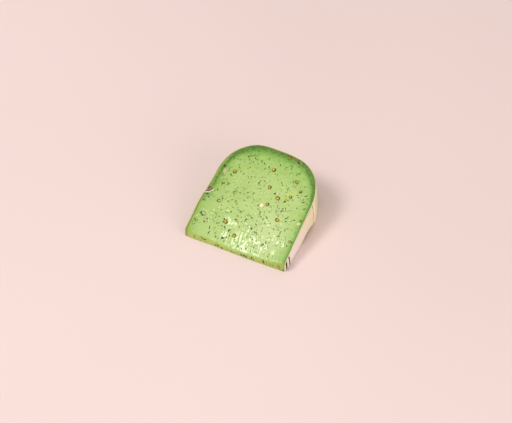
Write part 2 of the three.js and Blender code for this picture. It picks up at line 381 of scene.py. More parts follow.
paste = add_block("cheese_paste", 228, 244, 14)
plain_underside(paste)
side, out, up = read_places(paste)
out = (out + 1) / 2
x, y, z = bend_to_wedge(side, out, up, PASTE_INSET, cut_relief)
across, radius = section_place(side, out, WEDGE_ANGLE, PASTE_INSET)
nose_y = NOSE_DISTANCE - NOSE_BULGE * middle_bump(x)
top = bend_to_wedge(side, out, np.ones_like(up), PASTE_INSET, cut_relief)[2]
behind, below = rounded_nose(y - nose_y, top - z)
near_nose = (y - nose_y < NOSE_ROUNDING) & (top - z < NOSE_ROUNDING)
y = np.where(near_nose, nose_y + behind, y)
z = np.where(near_nose, top - below, z)
on_nose = smooth(1 - (y - nose_y) / 0.5) * smooth((z - 0.2) / 0.5)
y -= on_nose * nose_relief(x, z)
write_places(paste, x, y, np.maximum(z, 0))


def add_share(piece, name, values):
    """Stores one number for each vertex, for the piece's material to read."""
    piece.data.attributes.new(name, "FLOAT", "POINT").data.foreach_set("value", values)


# How deep in the cheese each point lies, as a share of the darker band under the rind: 0 at
# the rim and 1 in the pale heart. The band is broad and dark at the rim, less so at the flats.
BAND_AT_RIM, BAND_AT_FLATS = 27.0, 14.5
PALER_AT_LABEL, DARKER_AT_BARE_FLAT = 1.2, 0.9
uneven_band = 1 + 0.03 * unevenness(across, radius, 16, 31)
deeper = smooth((radius - 64) / 16) * smooth((104 - radius) / 14) * smooth(-across / 20)
from_flat = half_at(radius, PASTE_INSET) - np.abs(across)
by_nose = smooth((68 - radius) / 14)
from_flat += np.where(across > 0, PALER_AT_LABEL, 2.4 * by_nose - DARKER_AT_BARE_FLAT - 1.2 * deeper)
from_flat = np.maximum(from_flat, 0)
from_rim = np.maximum(crown_at(across, PASTE_INSET) - radius, 0)
dark_flat = 1 - np.clip(from_flat / ((BAND_AT_FLATS + 2 * deeper) * uneven_band), 0, 1)
dark_rim = 1 - np.clip(from_rim / (BAND_AT_RIM * uneven_band), 0, 1)
add_share(paste, "from_rind", 1 - np.minimum((dark_flat**4 + dark_rim**4) ** 0.25, 1))
# Painted sheen: a pale patch right of the middle, behind the nose, standing in for the wet face's
# sheen.
add_share(paste, "painted_sheen", np.exp(-(((across - 21) / 19) ** 2) - ((radius - 48) / 21) ** 2))
dried = smooth(1 - (y - nose_y) / 0.9)
left_edge = smooth((3.0 - half_at(radius, PASTE_INSET) - across) / 2.4) * smooth((112 - radius) / 14)
add_share(paste, "dried", np.maximum(dried, 0.5 * left_edge))
# Painted shade: marks the notch's hollow and lip, to be painted dark brown for the shade inside it.
in_lip = smooth((1.12 - in_notch(across, radius)[0]) / 0.3)
add_share(paste, "notch_painted_shade", in_lip * smooth((up - 0.7) / 0.2))
for polygon in paste.data.polygons:
    polygon.use_smooth = len(polygon.vertices) == 4


def paint(code):
    """A colour written as an sRGB hex value, in Blender's linear light."""
    channels = [int(code[i : i + 2], 16) / 255 for i in (0, 2, 4)]
    return [c / 12.92 if c < 0.04045 else ((c + 0.055) / 1.055) ** 2.4 for c in channels] + [1.0]


def fill_inputs(material, node, inputs):
    """Links a node's inputs to other nodes, or sets them to values."""
    for place, value in inputs.items():
        if isinstance(value, bpy.types.NodeSocket):
            material.node_tree.links.new(value, node.inputs[place])
        else:
            node.inputs[place].default_value = value


def add_node(material, kind, inputs=None, stops=None, output=0, **settings):
    """Adds a node, sets it, fills its inputs, and gives one of its outputs or the node itself."""
    node = material.node_tree.nodes.new("ShaderNode" + kind)
    for name, value in settings.items():
        setattr(node, name, value)
    fill_inputs(material, node, inputs or {})
    if stops:
        ramp = node.color_ramp
        for place, colour in stops[2:]:
            ramp.elements.new(place)
        for element, (place, colour) in zip(ramp.elements, sorted(stops)):
            element.position = place
            element.color = paint(colour)
    return node if output is None else node.outputs[output]


def new_finish(name):
    """An empty material with its shader, and the piece's own coordinates in millimetres."""
    material = bpy.data.materials.new(name)
    material.use_nodes = True
    shader = material.node_tree.nodes["Principled BSDF"]
    coords = add_node(material, "TexCoord", output="Object")
    places = add_node(material, "VectorMath", {0: coords, "Scale": 1000.0}, operation="SCALE")
    return material, shader, places


def herb_flecks(material, places, grain, size, share, squash, turn):
    """Gives 1 on specks of chopped herb: one in each chosen cell, stretched one way."""
    warp = add_node(material, "TexNoise",
                    {"Vector": places, "Scale": 0.55, "Detail": 1.0}, output="Color")
    shift = add_node(material, "VectorMath", {0: warp, "Scale": 1.7}, operation="SCALE")
    moved = add_node(material, "VectorMath", {0: places, 1: shift}, operation="ADD")
    turned = add_node(material, "Mapping", {"Vector": moved, "Rotation": turn, "Scale": squash})
    cells = add_node(material, "TexVoronoi", {"Vector": turned, "Scale": 1 / grain}, output=None)
    split = add_node(material, "SeparateColor", {"Color": cells.outputs["Color"]}, output=None)
    chosen = add_node(material, "Math", {0: split.outputs[0], 1: share}, operation="LESS_THAN")
    width = add_node(material, "MapRange",
                     {"Value": split.outputs[1], "To Min": size * 0.45, "To Max": size})
    edge = add_node(material, "Math", {0: cells.outputs["Distance"], 1: width}, operation="DIVIDE")
    inside = add_node(material, "MapRange",
                      {"Value": edge, "From Min": 0.75, "From Max": 1.15, "To Min": 1.0, "To Max": 0.0})
    return add_node(material, "Math", {0: inside, 1: chosen}, operation="MULTIPLY")


def mixed(material, share, first, second, blend="MIX"):
    """The colour of one over the other by a share."""
    return add_node(material, "Mix", {0: share, 6: first, 7: second}, output=2,
                    data_type="RGBA", blend_type=blend)


# Moist herb cheese: light scatters a millimetre or two into it, so the green glows a little
# and shadows soften, and the cut is satin with a thin film of whey that gives wet glints.
cheese, shader, places = new_finish("moist_herb_cheese")
depth = add_node(cheese, "Attribute", attribute_name="from_rind", output="Fac")
by_depth = add_node(cheese, "ValToRGB", {"Fac": depth}, stops=[
    (0.0, "4E7A0E"), (1.0, "AAC86C"), (0.065, "527E12"), (0.145, "669A26"), (0.22, "7DAE3B"),
    (0.30, "8EB94A"), (0.52, "9CC05B"), (0.76, "A4C564")])
across_wedge = add_node(cheese, "SeparateXYZ", {0: places})
broad = add_node(cheese, "TexNoise", {"Vector": places, "Scale": 1 / 18, "Detail": 2.0})
patch = add_node(cheese, "MapRange",
                 {"Value": broad, "From Min": 0.42, "From Max": 0.66, "To Max": 0.5})
lively = mixed(cheese, patch, by_depth, mixed(cheese, 1.0, by_depth, paint("E2EFCB"), "MULTIPLY"))
curds = add_node(cheese, "TexNoise",
                 {"Vector": places, "Scale": 1 / 2.4, "Detail": 2.0, "Distortion": 0.6})
curd_tone = add_node(cheese, "MapRange",
                     {"Value": curds, "From Min": 0.40, "From Max": 0.72, "To Max": 0.30})
lively = mixed(cheese, curd_tone, lively, mixed(cheese, 0.5, lively, paint("D6E6A8")))
dry = add_node(cheese, "Attribute", attribute_name="dried", output="Fac")
to_right = add_node(cheese, "MapRange", {"Value": across_wedge, "From Min": -25.0, "From Max": 45.0})
to_corner = add_node(cheese, "MapRange", {"Value": across_wedge, "From Min": -43.0, "From Max": -46.5})
dry_tone = mixed(cheese, to_right, paint("AEC25A"), paint("A6BA50"))
dry_tone = mixed(cheese, to_corner, dry_tone, paint("A6A41E"))
to_left = add_node(cheese, "MapRange",
                   {"Value": across_wedge, "From Min": 5.0, "From Max": -48.0, "To Max": 0.55})
duller = mixed(cheese, 1.0, lively, paint("EFF0DE"), "MULTIPLY")
lively = mixed(cheese, to_left, lively, duller)
# Painted sheen: the face is paled towards DCE9B4 in that patch, as a painted wet sheen.
painted_sheen = add_node(cheese, "Attribute", attribute_name="painted_sheen", output="Fac")
painted_sheen_share = add_node(cheese, "Math", {0: painted_sheen, 1: 0.34}, operation="MULTIPLY")
lively = mixed(cheese, painted_sheen_share, lively, paint("DCE9B4"))
olive = mixed(cheese, dry, lively, dry_tone)
faint = herb_flecks(cheese, places, 2.6, 0.30, 0.55, (1.0, 0.55, 0.8), (0.3, 0.0, 0.5))
faint_share = add_node(cheese, "Math", {0: faint, 1: 0.38}, operation="MULTIPLY")
speckled = mixed(cheese, faint_share, olive, paint("5B7F31"))
dark = herb_flecks(cheese, places, 4.1, 0.14, 0.5, (0.6, 1.0, 0.8), (0.0, 0.4, 2.1))
dark_share = add_node(cheese, "Math", {0: dark, 1: 0.7}, operation="MULTIPLY")
speckled = mixed(cheese, dark_share, speckled, paint("34501F"))
# Painted shade: the notch's hollow is painted dark brown for the shade inside it, and kept dry of the
# film.
brown = add_node(cheese, "Attribute", attribute_name="notch_painted_shade", output="Fac")
notch_shade_tone = add_node(cheese, "ValToRGB", {"Fac": curds}, stops=[(0.36, "5E4C26"), (0.68, "9C9060")])
surface = mixed(cheese, brown, speckled, notch_shade_tone)
film = add_node(cheese, "MapRange",
                {"Value": curds, "From Min": 0.3, "From Max": 0.7, "To Min": 0.5, "To Max": 0.62})
fine = add_node(cheese, "TexNoise", {"Vector": places, "Scale": 1.4, "Detail": 3.0})
grainy = add_node(cheese, "Bump", {"Height": fine, "Strength": 0.3, "Distance": 0.03 * MM})
bare = add_node(cheese, "MapRange", {"Value": brown, "From Max": 0.4, "To Min": 0.8, "To Max": 0.0})
inside = add_node(cheese, "MapRange",
                  {"Value": depth, "From Max": 0.35, "To Min": 0.15, "To Max": 0.8})
wet = add_node(cheese, "Math", {0: bare, 1: inside}, operation="MINIMUM")
fill_inputs(cheese, shader, {
    "Base Color": surface, "Roughness": film, "Normal": grainy,
    "Subsurface Weight": 0.3, "Subsurface Radius": (0.9, 1.0, 0.45), "Subsurface Scale": 1.2 * MM,
    "IOR": 1.45, "Specular IOR Level": 0.4, "Coat Weight": wet, "Coat Roughness": 0.14})
paste.data.materials.append(cheese)
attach(paste, "root")
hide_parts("paste")


# ---- The coat ---------------------------------------------------------------------------
# A food-safe coat brushed on the rim and flats while the wheel ripened, under a millimetre
# thick. It is straw yellow and lets the green through, and was sliced with the cheese.

COAT_THICKNESS = 0.9
SMOOTH_BELOW = math.radians(40)
LIFT_FROM, LIFT_TO, LIFT = 58.0, 92.0, 2.6


def foot_lift(side_y):
    """How far the coat and label have peeled up from the foot of the labelled flat."""
    share = np.clip((side_y - LIFT_FROM) / (LIFT_TO - LIFT_FROM), 0, 1)
    return LIFT * np.sin(np.pi * share) ** 2


def thicken(piece, thickness, offset, even=False):
    """Gives an open sheet its thickness: outward at offset 1, inward at -1."""
    wall = piece.modifiers.new("wall", "SOLIDIFY")
    wall.thickness = thickness * MM
    wall.offset = offset
    wall.use_even_offset = even
    bpy.ops.object.modifier_apply(modifier=wall.name)


def coat_relief(x, radius):
    """The coat's cut edge is a little ragged, and the notch goes through it."""
    return 0.05 * unevenness(x, radius, 2.2, 51) - 0.1 - sunk_at(x, radius) - notch_depth(x, radius)


coat = add_grid("brushed_coat", 540, 30)
along, up, _ = read_places(coat)
up = (up + 1) / 2
coat_side = np.clip(3 * along, -1, 1)
coat_out = np.minimum(1, (3 - np.abs(3 * along)) / 2)
x, y, z = bend_to_wedge(coat_side, coat_out, up, 0, coat_relief)
z += (1 - up) ** 3 * foot_lift(y) * (x > 0)
write_places(coat, x, y, z)
add_share(coat, "labelled", smooth((x - 40) / 4))
add_share(coat, "peeled", smooth((x - 42) / 2) * smooth((5.5 - z) / 1.5) * smooth(foot_lift(y) / 0.8))
coat_across, coat_radius = section_place(coat_side, coat_out, WEDGE_ANGLE, 0)
# Painted shade: marks the coat at the notch's lip, to be painted dark brown for the shade inside the
# notch.
in_lip = smooth((1.15 - in_notch(coat_across, coat_radius)[0]) / 0.3)
add_share(coat, "notch_painted_shade", in_lip * smooth((up - 0.85) / 0.1))
turn_faces_outward()
rim_middle = Vector((0, AXIS + WHEEL_RADIUS, 10)) * MM
rim_face = min(coat.data.polygons, key=lambda p: (p.center - rim_middle).length)
if rim_face.normal.y < 0:
    coat.data.flip_normals()
thicken(coat, COAT_THICKNESS, -1, even=True)
bpy.ops.object.shade_smooth_by_angle(angle=SMOOTH_BELOW)
add_share(coat, "inner", np.arange(len(coat.data.vertices)) >= len(x))

# A brushed polymer coat: soft satin gloss, straw yellow where it is thick, greenish where the
# cheese shows through, with herbs blurred beneath it.
coating, shader, places = new_finish("brushed_cheese_coat")
cloud = add_node(coating, "TexNoise", {"Vector": places, "Scale": 1 / 7, "Detail": 3.0})
tone = add_node(coating, "ValToRGB", {"Fac": cloud}, stops=[
    (0.32, "8F9F3C"), (0.7, "B5B760"), (0.5, "A0A94A")])
labelled = add_node(coating, "Attribute", attribute_name="labelled", output="Fac")
straw = mixed(coating, labelled, tone, paint("E8E2AC"))
beneath = herb_flecks(coating, places, 2.3, 0.22, 0.42, (1.0, 0.6, 0.8), (0.2, 0.5, 0.9))
beneath_share = add_node(coating, "Math", {0: beneath, 1: 0.32}, operation="MULTIPLY")
dotted = mixed(coating, beneath_share, straw, paint("4F5A26"))
inner = add_node(coating, "Attribute", attribute_name="inner", output="Fac")
dotted = mixed(coating, inner, dotted, paint("6F9A3C"))
peeled = add_node(coating, "Attribute", attribute_name="peeled", output="Fac")
dotted = mixed(coating, peeled, dotted, paint("BFAE48"))
# Painted shade: dark brown where the coat meets the notch, for the shade inside it.
brown = add_node(coating, "Attribute", attribute_name="notch_painted_shade", output="Fac")
dotted = mixed(coating, brown, dotted, paint("6E5A30"))
brushed = add_node(coating, "TexNoise", {"Vector": places, "Scale": 1 / 3, "Detail": 2.0})
orange_peel = add_node(coating, "Bump", {"Height": brushed, "Strength": 0.3, "Distance": 0.2 * MM})
fill_inputs(coating, shader, {
    "Base Color": dotted, "Normal": orange_peel, "Roughness": 0.32, "IOR": 1.47,
    "Subsurface Weight": 0.3, "Subsurface Radius": (1.0, 0.9, 0.3), "Subsurface Scale": 1.0 * MM})
coat.data.materials.append(coating)
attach(coat, "root")
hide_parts("rind_coat")


# ---- The label --------------------------------------------------------------------------
# A round paper label stuck on the flat while the coat was tacky, and sliced with the wheel.
# It is printed with plain rings about the wheel's axis and nothing else.

LABEL_RADIUS = 91.0
LABEL_THICKNESS = 0.14
LABEL_FROM_COAT = 0.06
# The print: two rings as radius and width, a ring of dots, and a border.
INNER_RING, OUTER_RING = (32.2, 2.9), (37.6, 1.9)
DOT_RING, DOT_SPACING, BORDER_FROM = 87.0, 2.0, 88.4
label = add_grid("paper_label", 150, 60)
out, up, _ = read_places(label)
out, up = (out + 1) / 2, (up + 1) / 2
turn = up * WEDGE_ANGLE
nose = NOSE_DISTANCE / np.cos(turn) + 0.25
radius = nose + (LABEL_RADIUS - nose) * out
x, y, z = in_wedge(half_at(radius, -LABEL_FROM_COAT), radius, turn)
x += 0.05 * unevenness(y, z, 9, 61) + 0.05
z += (1 - up) ** 3 * (1.4 * foot_lift(y) + 0.35) - up**8 * (0.25 + 0.1 * unevenness(y, z, 3, 62))
z -= up**4 * sunk_at(x, radius)
z -= up**8 * (0.25 + 0.25 * unevenness(y, z, 1.8, 63) + 0.6 * smooth((y - 68) / 8))
write_places(label, x, y, z)
turn_faces_outward()
if label.data.polygons[0].normal.x < 0:
    label.data.flip_normals()
thicken(label, LABEL_THICKNESS, 1)
bpy.ops.object.shade_smooth_by_angle(angle=SMOOTH_BELOW)

# Uncoated printed paper: dead matt cream with two dark brown rings round the middle and a ring of dots
# inside the border. Towards the middle it carries a painted reflection, a pink cast for light bounced
# from the pink floor, and outwards it is a warmer cream.
paper, shader, places = new_finish("printed_label_paper")
from_axis = add_node(paper, "VectorMath", {0: places, 1: (0, -AXIS, 0)}, operation="ADD")
axes = add_node(paper, "SeparateXYZ", {0: from_axis}, output=None)
out_squared = add_node(paper, "Math", {0: axes.outputs["Y"], 1: 2.0}, operation="POWER")
up_squared = add_node(paper, "Math", {0: axes.outputs["Z"], 1: 2.0}, operation="POWER")
squares = add_node(paper, "Math", {0: out_squared, 1: up_squared}, operation="ADD")
ring = add_node(paper, "Math", {0: squares, 1: 0.5}, operation="POWER")
turned = add_node(paper, "Math", {0: axes.outputs["Z"], 1: axes.outputs["Y"]}, operation="ARCTAN2")


def band_at(radius, width):
    """1 on a printed ring of a radius and width, 0 beside it."""
    off = add_node(paper, "Math", {0: ring, 1: radius}, operation="SUBTRACT")
    away = add_node(paper, "Math", {0: off}, operation="ABSOLUTE")
    return add_node(paper, "Math", {0: away, 1: width / 2}, operation="LESS_THAN")


# Painted reflection: pink-tinted towards the middle for the light bounced from the pink floor, warmer
# cream outwards.
tint = add_node(paper, "MapRange", {"Value": ring, "From Min": 48.0, "From Max": 82.0})
ground = mixed(paper, tint, paint("FBEEE8"), paint("F4E8C0"))
fibres = add_node(paper, "TexNoise", {"Vector": places, "Scale": 1 / 1.1, "Detail": 4.0})
fibre_tone = add_node(paper, "MapRange", {"Value": fibres, "To Max": 0.10})
ground = mixed(paper, fibre_tone, ground, paint("B9A58A"))
wave = add_node(paper, "Math",
                {0: turned, 1: 2 * math.pi * DOT_RING / DOT_SPACING}, operation="MULTIPLY")
beat = add_node(paper, "Math", {0: wave}, operation="SINE")
dots_on = add_node(paper, "Math", {0: beat, 1: -0.15}, operation="GREATER_THAN")
dots = add_node(paper, "Math", {0: dots_on, 1: band_at(DOT_RING, 1.0)}, operation="MULTIPLY")
rings = add_node(paper, "Math", {0: band_at(*INNER_RING), 1: band_at(*OUTER_RING)},
                 operation="MAXIMUM")
ink = add_node(paper, "Math", {0: rings, 1: dots}, operation="MAXIMUM")
border = add_node(paper, "Math", {0: ring, 1: BORDER_FROM}, operation="GREATER_THAN")
ground = mixed(paper, border, ground, paint("FAF1D8"))
printed = mixed(paper, ink, ground, paint("4A3A22"))
tooth = add_node(paper, "Bump", {"Height": fibres, "Strength": 0.25, "Distance": 0.05 * MM})
fill_inputs(paper, shader, {
    "Base Color": printed, "Normal": tooth, "Roughness": 0.78, "IOR": 1.48})
label.data.materials.append(paper)
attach(label, "root")
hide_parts("flat_label")


# ---- The torn scrap ---------------------------------------------------------------------
# What is left of a label on the other flat: a torn strip, curled up in the notch, white along its torn
# top edge and painted dark brown below as the shade inside the notch.

SCRAP_THICKNESS = 0.55
# The scrap's path along the notch's lip, as across and radius, from the flat inwards.
SCRAP_PATH = np.array([
    (-45.8, 65.9), (-44.9, 66.3), (-43.3, 67.2), (-41.5, 68.6), (-40.4, 70.1), (-40.1, 71.6)])
scrap = add_grid("torn_label_scrap", 48, 12)
along, high, _ = read_places(scrap)
along, high = (along + 1) / 2, (high + 1) / 2
path_x = np.interp(along, np.linspace(0, 1, len(SCRAP_PATH)), SCRAP_PATH[:, 0])
path_out = np.interp(along, np.linspace(0, 1, len(SCRAP_PATH)), SCRAP_PATH[:, 1])
turn = np.radians(32 + 50 * along**2)
lean = 0.75 * high**2 - 0.25 + 0.12 * np.sin(17 * along)
height = -1.5 + (2.2 + 0.25 * np.sin(9 * along + 1) + 0.15 * np.sin(23 * along)) * high
flat_x = path_x + lean * np.sin(turn)
x, y, z = on_cut_face(flat_x, path_out - lean * np.cos(turn), height)
write_places(scrap, x, y, z)
add_share(scrap, "torn", smooth((high - 0.62) / 0.2))
thicken(scrap, SCRAP_THICKNESS, 0)
turn_faces_outward()
bpy.ops.object.shade_smooth_by_angle(angle=SMOOTH_BELOW)

# Torn paper: fuzzy white along the top where its layers split, and dark brown below as painted shade.
torn_paper, shader, places = new_finish("torn_label_paper")
torn = add_node(torn_paper, "Attribute", attribute_name="torn", output="Fac")
fuzz = add_node(torn_paper, "TexNoise", {"Vector": places, "Scale": 1.2, "Detail": 3.0})
ragged = add_node(torn_paper, "Math", {0: fuzz, 1: torn}, operation="ADD")
shown = add_node(torn_paper, "ValToRGB",
                 {"Fac": ragged}, stops=[(0.55, "5A4A33"), (0.85, "F8F3E8")])
fill_inputs(torn_paper, shader, {
    "Base Color": shown, "Roughness": 0.8})
scrap.data.materials.append(torn_paper)
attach(scrap, "root")
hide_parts("label_scrap")


# ---- The mustard seeds ------------------------------------------------------------------
# Whole yellow mustard seeds stirred into the curd. The knife sliced them with the cheese, so
# each shows its thin brown skin as a ring round a golden kernel, in a snug pocket.

SEED_SLICE = 0.35
SEED_DEPTH = 0.85
PROUD_OF_CUT, PROUD_OF_NOSE = 0.08, 0.06
KERNEL_OFF_MIDDLE, KERNEL_TURN = 0.30, 2.4
# For each seed: 0 for a golden kernel to 0.5 for a pale one to 1 for a green one, its length
# over its width, and the turn of that length from across.
SEED_LOOKS = [
    (0.05, 1.22, 110), (0.45, 1.00, 20), (0.55, 0.90, 60), (0.60, 1.00, 0), (0.25, 1.05, 40),
    (0.72, 1.00, 75), (0.90, 1.05, 30), (0.10, 1.05, 15), (0.40, 1.00, 95), (0.12, 1.12, 70),
    (0.85, 1.05, 50), (0.05, 1.18, 130), (0.08, 1.12, 65), (0.42, 1.05, 10), (0.50, 0.90, 85),
    (0.65, 1.00, 35), (0.30, 1.00, 5), (0.20, 1.00, 45), (0.30, 1.15, 0)]

bpy.ops.object.select_all(action="DESELECT")
bpy.ops.mesh.primitive_uv_sphere_add(segments=28, ring_count=14, radius=1)
seed_model = bpy.context.object
bpy.ops.object.mode_set(mode="EDIT")
bpy.ops.mesh.bisect(plane_co=(0, 0, SEED_SLICE), plane_no=(0, 0, 1), clear_outer=True, use_fill=True)
choose_faces(seed_model, lambda middle, normal: normal.z > 0.99)
for width, rise in ((0.15, 0.03), (0.04, -0.13), (0.07, 0.13), (0.20, 0.07), (0.22, 0.02)):
    bpy.ops.mesh.inset(thickness=width, depth=rise)
bpy.ops.mesh.poke()
bpy.ops.object.mode_set(mode="OBJECT")
seed_model.data.polygons.foreach_set("use_smooth", [True] * len(seed_model.data.polygons))

# Sliced mustard seed: a hard, waxy skin that is brown and shiny, and an oily kernel.
slice_finish, shader, places = new_finish("sliced_mustard_seed")
from_middle = add_node(slice_finish, "Attribute", attribute_name="from_middle", output="Fac")
look = add_node(slice_finish, "Attribute", attribute_name="look", output="Fac")
oily = add_node(slice_finish, "TexNoise", {"Vector": places, "Scale": 0.55, "Detail": 2.0})
shifted = add_node(slice_finish, "Math", {0: oily, 1: 0.5}, operation="SUBTRACT")
shifted = add_node(slice_finish, "Math", {0: shifted, 1: 1.1}, operation="MULTIPLY")
moved = add_node(slice_finish, "Math", {0: from_middle, 1: shifted}, operation="ADD")
golden = add_node(slice_finish, "ValToRGB", {"Fac": moved}, stops=[
    (0.10, "C6B634"), (1.0, "504604"), (0.55, "B6A20C"), (0.82, "847404")])
pale = add_node(slice_finish, "ValToRGB", {"Fac": moved}, stops=[
    (0.06, "CED072"), (1.0, "564A04"), (0.45, "BEB436"), (0.78, "8E7E08")])
green = add_node(slice_finish, "ValToRGB", {"Fac": moved}, stops=[
    (0.10, "B4CC78"), (1.0, "52480C"), (0.52, "9AB24C"), (0.80, "7A7214")])
first_half = add_node(slice_finish, "MapRange", {"Value": look, "From Max": 0.5})
second_half = add_node(slice_finish, "MapRange", {"Value": look, "From Min": 0.5})
tone = mixed(slice_finish, first_half, golden, pale)
tone = mixed(slice_finish, second_half, tone, green)
waxy = add_node(slice_finish, "Bump", {"Height": oily, "Strength": 0.4, "Distance": 0.1 * MM})
fill_inputs(slice_finish, shader, {
    "Base Color": tone, "Normal": waxy, "Roughness": 0.38, "IOR": 1.47,
    "Subsurface Weight": 0.05, "Subsurface Radius": (0.5, 0.45, 0.1),
    "Subsurface Scale": 0.5 * MM, "Specular IOR Level": 0.35, "Coat Weight": 0.2,
    "Coat Roughness": 0.15})
seed_model.data.materials.append(slice_finish)


def copy_of(model, name):
    """A copy of a modelled piece, with its own mesh."""
    piece = model.copy()
    piece.data = model.data.copy()
    piece.name = piece.data.name = name
    bpy.context.collection.objects.link(piece)
    return piece


def lay_in_face(piece, node, long_way, turn, depth):
    """Puts a copy in a node's place, in the cut face or in the nose, sliced level with it."""
    u, v, w = read_places(piece)
    low, high = box_of(node)
    across, radius, half = face_place(node)
    cos, sin = math.cos(math.radians(turn)), math.sin(math.radians(turn))
    u, v = u * half * math.sqrt(long_way), v * half / math.sqrt(long_way)
    u, v = u * cos - v * sin, u * sin + v * cos
    rise = w * half * depth - SEED_SLICE * half * depth
    if low[1] - AXIS > NOSE_DISTANCE + 0.3:
        return on_cut_face(across + u, radius + v, rise + PROUD_OF_CUT)
    middle_z = (low[2] + high[2]) / 2
    return on_nose_face(across + u, middle_z + v, rise + PROUD_OF_NOSE)


for number, node in enumerate(sorted(SEEDS, key=lambda name: int(name.split("_")[-1]))):
    look, long_way, turn = SEED_LOOKS[number]
    seed = copy_of(seed_model, f"sliced_seed_{number + 1}")
    u, v, w = read_places(seed)
    off_u = KERNEL_OFF_MIDDLE * math.cos(KERNEL_TURN * number)
    off_v = KERNEL_OFF_MIDDLE * math.sin(KERNEL_TURN * number)
    from_kernel = np.hypot(u - off_u, v - off_v) / math.sqrt(1 - SEED_SLICE**2)
    add_share(seed, "from_middle", np.where(w < SEED_SLICE - 0.02, 1.0, np.minimum(from_kernel, 1.0)))
    add_share(seed, "look", np.full_like(u, look))
    write_places(seed, *lay_in_face(seed, node, long_way, turn, SEED_DEPTH))
    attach(seed, "root")
    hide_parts(node)
bpy.data.objects.remove(seed_model)


# ---- The garlic chips -------------------------------------------------------------------
# Minced dried garlic that softened in the curd: small angular chips, translucent cream, some
# of them stained by the herbs, sliced level with the cheese.

# For each chip, how stained it is: 0 for clean cream to 1.
CHIP_LOOKS = [0.06, 0.30, 0.92, 0.85, 0.82, 0.95, 0.35]
CHIP_TURNS = [15, 30, 10, -15, 30, 5, 25]
LONGEST_CHIP = 2.1
CHIP_DEPTH = 0.6
CHIP_SIZES = [(0.74, 1.0), (0.64, 0.9), (1.0, 1.0), (0.8, 0.9), (0.9, 0.9), (0.8, 1.0), (0.9, 1.0)]

bpy.ops.object.select_all(action="DESELECT")
bpy.ops.mesh.primitive_cube_add(size=1.6)
chip_model = bpy.context.object
bpy.ops.object.mode_set(mode="EDIT")
bpy.ops.mesh.subdivide(number_cuts=3, smoothness=0.9)
bpy.ops.mesh.bisect(
    plane_co=(0, 0, SEED_SLICE), plane_no=(0.05, 0.08, 1), clear_outer=True, use_fill=True)
choose_faces(chip_model, lambda middle, normal: normal.z > 0.97)
bpy.ops.mesh.inset(thickness=0.12, depth=0.03)
bpy.ops.mesh.inset(thickness=0.30, depth=0.05)
bpy.ops.mesh.inset(thickness=0.20, depth=-0.04)
bpy.ops.mesh.poke()
bpy.ops.object.mode_set(mode="OBJECT")
rounding = chip_model.modifiers.new("rounding", "SUBSURF")
rounding.levels = rounding.render_levels = 2
bpy.ops.object.modifier_apply(modifier=rounding.name)
chip_model.data.polygons.foreach_set("use_smooth", [True] * len(chip_model.data.polygons))

# Softened garlic: waxy and translucent, so light goes deep into it and its edges look soft.
garlic, shader, places = new_finish("softened_garlic")
stained = add_node(garlic, "Attribute", attribute_name="look", output="Fac")
grain = add_node(garlic, "TexNoise",
                 {"Vector": places, "Scale": 0.9, "Detail": 3.0, "Distortion": 0.5})
clean = add_node(garlic, "ValToRGB", {"Fac": grain}, stops=[(0.35, "F0E6B4"), (0.65, "FFF4DC")])
soaked = add_node(garlic, "ValToRGB", {"Fac": grain}, stops=[
    (0.36, "8C7038"), (0.64, "B4CC80"), (0.5, "AFAE6C")])
tone = mixed(garlic, stained, clean, soaked)
at_edge = add_node(garlic, "Attribute", attribute_name="from_middle", output="Fac")
steeped = add_node(garlic, "MapRange",
                   {"Value": at_edge, "From Min": 0.5, "From Max": 1.0, "To Max": 0.75})
tone = mixed(garlic, steeped, tone, paint("B4C67C"))
lumps = add_node(garlic, "Bump", {"Height": grain, "Strength": 0.5, "Distance": 0.15 * MM})
fill_inputs(garlic, shader, {
    "Base Color": tone, "Normal": lumps, "Roughness": 0.34, "IOR": 1.45,
    "Subsurface Weight": 0.5, "Subsurface Radius": (1.0, 0.9, 0.6), "Subsurface Scale": 1.0 * MM,
    "Coat Weight": 0.5, "Coat Roughness": 0.12})
chip_model.data.materials.append(garlic)

for number, node in enumerate(CHIPS):
    chip = copy_of(chip_model, f"cut_garlic_{number + 1}")
    u, v, w = read_places(chip)
    add_share(chip, "look", np.full_like(u, CHIP_LOOKS[number]))
    add_share(chip, "from_middle", np.hypot(u, v) / np.hypot(u, v).max())
    low, high = box_of(node)
    stretch = min((high[1] - low[1]) / (high[0] - low[0]), LONGEST_CHIP)
    wide, long = CHIP_SIZES[number]
    points = np.stack([u * wide, v * long * stretch, w], axis=1)
    chip.data.vertices.foreach_set("co", points.ravel())
    write_places(chip, *lay_in_face(chip, node, 1.0, CHIP_TURNS[number], CHIP_DEPTH))
    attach(chip, "root")
    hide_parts(node)
bpy.data.objects.remove(chip_model)


# ---- The chopped herbs ------------------------------------------------------------------
# Chives and parsley, chopped fine and pressed in the curd: thin flakes and bits of stem that
# the knife laid bare, nearly black where they are thick and leaf green where they are thin.

